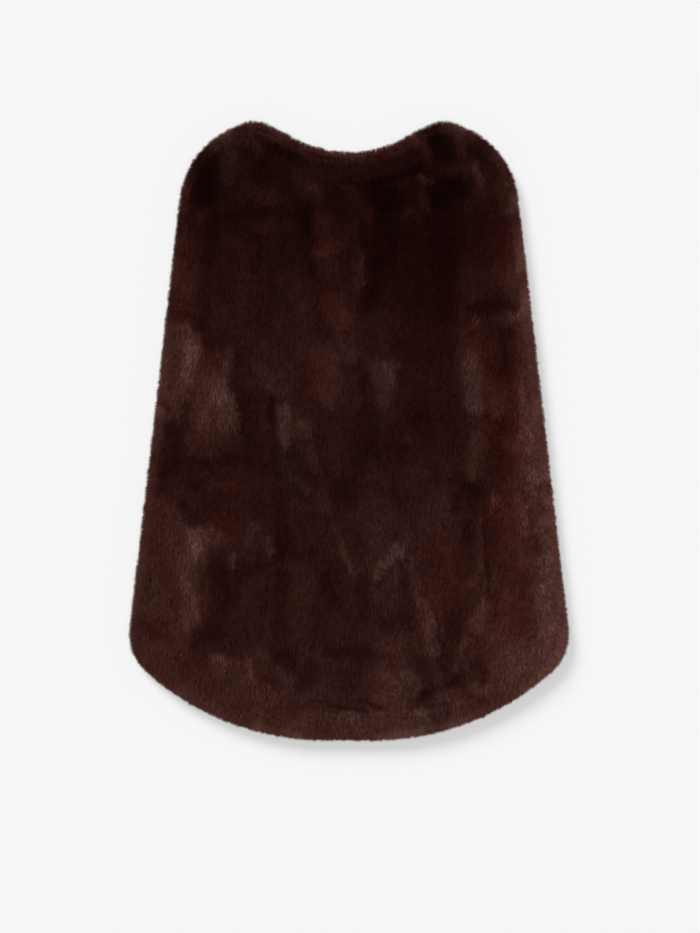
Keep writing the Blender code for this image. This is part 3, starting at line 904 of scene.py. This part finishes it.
CLUMP_ACROSS = 0.0032
CLUMP_ALONG = 0.0050
CLUMP_SHIFT = 0.3
CLUMP_PULL = 0.22
PLAN_SPAN = 1.3

# The lean: turns in radians, then changes to its strength.
CLUMP_TURN = 0.16
BRUSHED_TURN = 0.20
BLADE_TURN = 0.20
CLUMP_VIGOUR = 0.14
BLADE_VIGOUR = 0.10
BRUSHED_LOSS = 0.22
RIM_LOSS = 0.30
RIM_TURN = 0.44

# Where the rim's roots lie on its half circle, in half walls.
ROOT_SPREAD = 0.75
ROOT_SET_BACK = 1.45
ROOT_RISE = 0.9

RIM_WIDTH = 0.00062
RIM_CLUMP = 0.0042
RIM_COOL = 0.10
RIM_FADE = 0.013
RIM_TURNED = 0.006
RIM_TONE_RANGE = (0.5, 1.5)
RIM_TONE_SPREAD = 0.12
RIM_LENGTH_SPREAD = 0.045
RIM_COMB_SPREAD = 0.15
# The rim's painted light: how far up its blades the painted root shade starts, the plain share of its warm
# tint, and its painted sheen, plain, for facing the neck and for facing the right.
RIM_ROOT = 0.4
RIM_LIGHT_SHARE = 0.3
RIM_PAINTED_SHEEN = -0.03
NECK_PAINTED_SHEEN = 0.82
RIGHT_PAINTED_SHEEN = 0.08

# The rim's comb, outwards and towards the hem: its share at level and the change on top. The top starts at a
# rise and is full after a run.
COMB_OUT = (0.75, -0.45)
COMB_HEMWARD = (0.30, 0.35)
COMB_TOP = (0.70, 0.30)
COMB_DROOP = 0.25
RIM_PULL = 0.07
RIM_CLUMP_TURN = 0.04
RIM_CLUMP_LIFT = 0.06


def scattered(spacing, seed):
    """A triangular lattice over the plan, each point moved at random by up to jitter * spacing."""
    source = np.random.default_rng(seed)
    rows = int(2 * HALF_LENGTH / (spacing * ROW_SPACING)) + 2
    columns = int(2 * HALF_WIDTH / spacing) + 2
    i, j = np.mgrid[0:rows, 0:columns]
    x = (j + 0.5 * (i % 2)) * spacing - HALF_WIDTH
    y = i * spacing * ROW_SPACING - HALF_LENGTH
    x = x + source.uniform(-PILE_JITTER, PILE_JITTER, x.shape) * spacing
    y = y + source.uniform(-PILE_JITTER, PILE_JITTER, y.shape) * spacing
    return x.ravel(), y.ravel()


def clump_pull(x, y, seed):
    """Vector from each place to its clump's centre, in clump sizes, and the clump's own random pair."""
    source = np.random.default_rng(seed)
    j = np.floor((x + PLAN_SPAN / 2) / CLUMP_ACROSS).astype(int)
    i = np.floor((y + PLAN_SPAN / 2) / CLUMP_ALONG).astype(int)
    shape = (int(PLAN_SPAN / CLUMP_ALONG) + 2, int(PLAN_SPAN / CLUMP_ACROSS) + 2)
    shift = source.uniform(-CLUMP_SHIFT, CLUMP_SHIFT, shape + (2,))
    own = source.normal(0.0, 1.0, shape + (2,))
    centre_x = (j + 0.5 + shift[i, j, 0]) * CLUMP_ACROSS - PLAN_SPAN / 2
    centre_y = (i + 0.5 + shift[i, j, 1]) * CLUMP_ALONG - PLAN_SPAN / 2
    pull = np.stack([(centre_x - x) / CLUMP_ACROSS, (centre_y - y) / CLUMP_ALONG], axis=1)
    return pull, own[i, j]


def rim_painted_sheen(x, y):
    """The rim's extra bloom, painted sheen: a plain amount, plus one for facing the neck and one for facing
    the right.

    The last two are times how far the outline faces that way. All fade by the smooth step away from the rim.
    """
    away = outward(x, y)
    lift = RIM_PAINTED_SHEEN + NECK_PAINTED_SHEEN * np.clip(away[:, 1], 0.0, 1.0) + RIGHT_PAINTED_SHEEN * away[:, 0]
    return lift * eased(1.0 - (inside(x, y) - SHELL_INSET) / RIM_FADE)


def level_sweep(x, y, bloom, seed):
    """Level lean of the pile: strength * a heading turned from the hem by the sway.

    The sway adds patches, the clump's and the blade's own turns and a share of the bloom. The strength adds
    the clump's and the blade's own vigour, less a share of the bloom. Near the rim part of the outward vector
    takes over. The pull to the clump's centre is added.
    """
    source = np.random.default_rng(seed)
    pull, own = clump_pull(x, y, seed=31)
    brushed = np.clip(bloom, -1.0, 1.0)
    sway = waves(x, y, LEAN_SWAY) + CLUMP_TURN * own[:, 0] + BRUSHED_TURN * brushed
    sway += source.normal(0.0, BLADE_TURN, len(x))
    strength = PILE_SWEEP * (1.0 + CLUMP_VIGOUR * own[:, 1] + source.normal(0.0, BLADE_VIGOUR, len(x)))
    strength -= BRUSHED_LOSS * brushed
    sweep = np.stack([np.sin(sway), -np.cos(sway)], axis=1) * strength[:, None]
    turned = eased((RIM_REACH - inside(x, y)) / (RIM_REACH - RIM_TURNED))[:, None]
    sweep = sweep * (1.0 - RIM_LOSS * turned) + RIM_TURN * outward(x, y) * turned
    return sweep + CLUMP_PULL * pull, own


def surface_normal(x, y, step=0.002):
    """Upward normals of the back, from its underside's slopes: differences over one step to each side."""
    dx = (back_underside(x + step, y) - back_underside(x - step, y)) / (2 * step)
    dy = (back_underside(x, y + step) - back_underside(x, y - step)) / (2 * step)
    return unit(np.stack([-dx, -dy, np.ones_like(dx)], axis=1))


def tangent_sweep(sweep, normal):
    """The level sweep laid along the surface: less its own part along the normal."""
    level = np.column_stack([sweep, np.zeros(len(sweep))])
    return level - normal * (level * normal).sum(1, keepdims=True)


def back_pile(material, pieces=4):
    """Blades over the flat of the back, shared out between pieces in turn.

    Length and tone are plain values * (1 + a random spread + the clump's own share). Near the rim the blades
    get painted rim light: a warmer tint, most where they face the neck, and lighter painted shade at the
    root, as their reach starts further up their length.
    """
    x, y = scattered(PILE_SPACING, seed=7)
    keep = inside(x, y) > SHELL_INSET + ROOT_CLEARANCE
    x, y = x[keep], y[keep]
    # The pile's painted sheen and shade, with the rim's painted sheen added.
    bloom = bloom_at(x, y) + rim_painted_sheen(x, y)
    sweep, own = level_sweep(x, y, bloom, seed=41)
    normal = surface_normal(x, y)
    sweep = tangent_sweep(sweep, normal)
    root = np.column_stack([x, y, back_underside(x, y) + SHELL_WALL - ROOT_DEPTH])
    count = len(x)
    length = PILE_LENGTH * (1.0 + rng.normal(0.0, LENGTH_SPREAD, count) + CLUMP_LENGTH * own[:, 1])
    width = PILE_WIDTH * rng.uniform(*WIDTH_RANGE, count)
    tone = 1.0 + TONE_SPREAD * rng.normal(0.0, 1.0, count) + CLUMP_TONE * own[:, 0]
    tone = np.clip(tone, *TONE_RANGE)
    near = eased(1.0 - inside(x, y) / RIM_REACH)
    # Painted rim light near the rim, most where it faces the neck.
    looks = {"tone": tone, "bloom": bloom, "warm": near * facing_neck(outward(x, y)), "cool": cool_at(x, y)}
    made = []
    for turn in range(pieces):
        pick = slice(turn, None, pieces)
        parts = [values[pick] for values in (root, normal, sweep, length, width, NEAR_RIM_ROOT * near)]
        picked = {title: values[pick] for title, values in looks.items()}
        made.append(blades(f"back_pile_{turn + 1}", *parts, picked, material))
    return made


def facing_neck(away):
    """Painted rim light, as a warmer tint and lighter painted shade: a plain share, and the rest by how far
    the outward vector faces the neck.
    """
    return RIM_LIGHT_SHARE + (1.0 - RIM_LIGHT_SHARE) * np.clip(away[:, 1], 0.0, 1.0)


def rim_pile(name, rim, height, half_wall, angles, count, reach, seed, material):
    """Blades around a panel's rounded rim, combed outwards and a little towards the hem.

    Roots lie on the rim's half circle at random angles above level. Each blade leaves along its own angle and
    falls towards level, the upper ones less outwards and more to the hem. Clumps along the rim draw together.
    """
    source = np.random.default_rng(seed)
    lengths = np.concatenate([[0.0], np.cumsum(np.linalg.norm(np.diff(rim, axis=0), axis=1))])
    place = (np.arange(count) + source.uniform(0.0, 1.0, count)) / count * lengths[-1]
    x, y = (np.interp(place, lengths, rim[:, axis]) for axis in (0, 1))
    away = outward(x, y)
    angle = np.radians(source.uniform(*angles, count))
    level, rise = np.cos(angle), np.sin(angle)
    back_from_rim = half_wall * (ROOT_SPREAD * level - ROOT_SET_BACK)
    root_z = height(x, y) + half_wall * rise * ROOT_RISE
    root = np.column_stack([x + away[:, 0] * back_from_rim, y + away[:, 1] * back_from_rim, root_z])
    normal = unit(np.column_stack([away * level[:, None], rise]))
    clump = np.floor(place / RIM_CLUMP).astype(int)
    own = source.normal(0.0, 1.0, (int(lengths[-1] / RIM_CLUMP) + 2, 3))[clump]
    along = np.stack([-away[:, 1], away[:, 0]], axis=1)
    pull = (clump + 0.5 - place / RIM_CLUMP)[:, None] * along
    top = eased((rise - COMB_TOP[0]) / COMB_TOP[1])[:, None]
    out, hemward = (plain + change * top for plain, change in (COMB_OUT, COMB_HEMWARD))
    sweep = away * out + np.array((0.0, -1.0)) * hemward
    sweep += RIM_PULL * pull + RIM_CLUMP_TURN * own[:, :1] * along
    sweep = np.column_stack([sweep, -COMB_DROOP * rise + RIM_CLUMP_LIFT * own[:, 1]])
    sweep += source.normal(0.0, RIM_COMB_SPREAD, sweep.shape)
    length = reach * (1.0 + source.normal(0.0, RIM_LENGTH_SPREAD, count) + CLUMP_LENGTH * own[:, 2])
    width = RIM_WIDTH * source.uniform(*WIDTH_RANGE, count)
    tone = np.clip(1.0 + RIM_TONE_SPREAD * source.normal(0.0, 1.0, count), *RIM_TONE_RANGE)
    # The rim blades' painted sheen and shade, and painted rim light with a warmer tint.
    looks = {"tone": tone, "bloom": bloom_at(x, y) + rim_painted_sheen(x, y)}
    looks.update(warm=facing_neck(away), cool=cool_at(x, y) + RIM_COOL)
    return blades(name, root, normal, sweep, length, width, np.full(count, RIM_ROOT), looks, material)


# ---- stage

FLOOR_GREY = 0.905
FLOOR_REACH = 14.0
WORLD_LIGHT = 0.13
WORLD_SEEN = 0.92

# Soft suns: strength, the width of their disc, and azimuth and elevation, in degrees.
SUNS = {
    "key": (1.76, 25.0, 124.0, 32.0),
    "overhead": (1.87, 7.0, 0.0, 90.0),
    "hem fill": (1.7, 60.0, -62.0, 30.0),
}

CAMERA_HEIGHT = 6.0
CAMERA_PLACE = (0.0014, -0.0493, CAMERA_HEIGHT)
FRAME_LENGTH = 1.2875
SENSOR = 36.0
FAR_CLIP = 100.0


def studio(cape):
    """A pale paper floor, three soft suns and a dim world. The last sun lights the cape only."""
    finish = Finish("paper_floor")
    paper = finish.set(Base_Color=colour(*[FLOOR_GREY] * 3), Roughness=0.9, Specular_IOR_Level=0.1)
    mesh = bpy.data.meshes.new("floor")
    corners = [(x * FLOOR_REACH, y * FLOOR_REACH, 0.0) for x, y in ((-1, -1), (1, -1), (1, 1), (-1, 1))]
    mesh.from_pydata(corners, [], [(0, 1, 2, 3)])
    mesh.materials.append(paper)
    placed("floor", mesh)
    for name, (strength, spread, azimuth, elevation) in SUNS.items():
        lamp = bpy.data.lights.new(name, "SUN")
        lamp.energy = strength
        lamp.angle = math.radians(spread)
        sun = placed(name, lamp)
        sun.rotation_euler = (math.radians(90.0 - elevation), 0.0, math.radians(azimuth + 90.0))
    lit = bpy.data.collections.new("lit by the hem fill")
    for piece in cape:
        lit.objects.link(piece)
    sun.light_linking.receiver_collection = lit


def surroundings():
    """A plain white world, dim as a light but nearly as bright as the floor where it is seen."""
    world = bpy.data.worlds.new("studio")
    world.use_nodes = True
    background = world.node_tree.nodes["Background"]
    seen = new_node(world.node_tree, "ShaderNodeLightPath", {}, {}, "Is Camera Ray")
    plug(world.node_tree, background.inputs["Strength"], seen * (WORLD_SEEN - WORLD_LIGHT) + WORLD_LIGHT)
    background.inputs["Color"].default_value = colour(1.0, 1.0, 1.0)
    bpy.context.scene.world = world
    bpy.context.scene.view_settings.view_transform = "Standard"


def camera():
    """Looks straight down on the cape: lens = sensor * height / the length that the frame covers."""
    data = bpy.data.cameras.new("camera")
    data.sensor_width = SENSOR
    data.lens = SENSOR * CAMERA_HEIGHT / FRAME_LENGTH
    data.clip_end = FAR_CLIP
    holder = placed("camera", data)
    holder.location = CAMERA_PLACE
    bpy.context.scene.camera = holder


# ---- the cape

BACK_RIM_ANGLES = (-60.0, 105.0)
BACK_RIM_BLADES = 48500
BACK_RIM_LENGTH = 0.0124
FRONT_RIM_ANGLES = (-40.0, 60.0)
FRONT_RIM_BLADES = 13000
FRONT_RIM_LENGTH = 0.0100
FRONT_HALF_WALL = 0.0030
FRONT_RIM_CLEARANCE = 0.002


def front_rim_pile(name, rim, seed, material):
    """The pile on one front's rim, shorter and kept lower than the back's."""
    return rim_pile(name, rim, front_middle, FRONT_HALF_WALL, FRONT_RIM_ANGLES, FRONT_RIM_BLADES,
                    FRONT_RIM_LENGTH, seed, material)


pile = pile_finish()
underfur = underfur_finish()

back_piles = back_pile(pile)
closed_rim = np.concatenate([INNER_RIM, INNER_RIM[:1]])
back_piles.append(rim_pile("back_rim_pile", closed_rim, back_middle, SHELL_WALL / 2, BACK_RIM_ANGLES,
                           BACK_RIM_BLADES, BACK_RIM_LENGTH, seed=51, material=pile))
fronts_rim = INNER_RIM[past_front_neck(*INNER_RIM.T) < -FRONT_RIM_CLEARANCE]
right_rim, left_rim = fronts_rim[fronts_rim[:, 0] > 0.0], fronts_rim[fronts_rim[:, 0] < 0.0]
right_pile = front_rim_pile("front_right_rim_pile", right_rim, seed=52, material=pile)
left_pile = front_rim_pile("front_left_rim_pile", left_rim, seed=53, material=pile)

back_cloth = panel_shell("back_cloth", inset(back_plan(), SHELL_INSET), back_underside, SHELL_WALL, underfur)
right_plan = inset(front_plan(), SHELL_INSET)
right_plan[..., 0] = np.maximum(right_plan[..., 0], SEAM_GAP / 2)
left_plan = mirrored(right_plan)[:, ::-1]
front_wall = FRONT_TOP - FRONT_HEADROOM
front_right_cloth = panel_shell("front_right_cloth", right_plan, front_floor, front_wall, underfur)
front_left_cloth = panel_shell("front_left_cloth", left_plan, front_floor, front_wall, underfur)

cape = back_piles + [right_pile, left_pile, back_cloth, front_right_cloth, front_left_cloth]
for piece in cape:
    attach(piece, "root")
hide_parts("back_panel")
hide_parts("front_right")
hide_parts("front_left")

studio(cape)
surroundings()
camera()
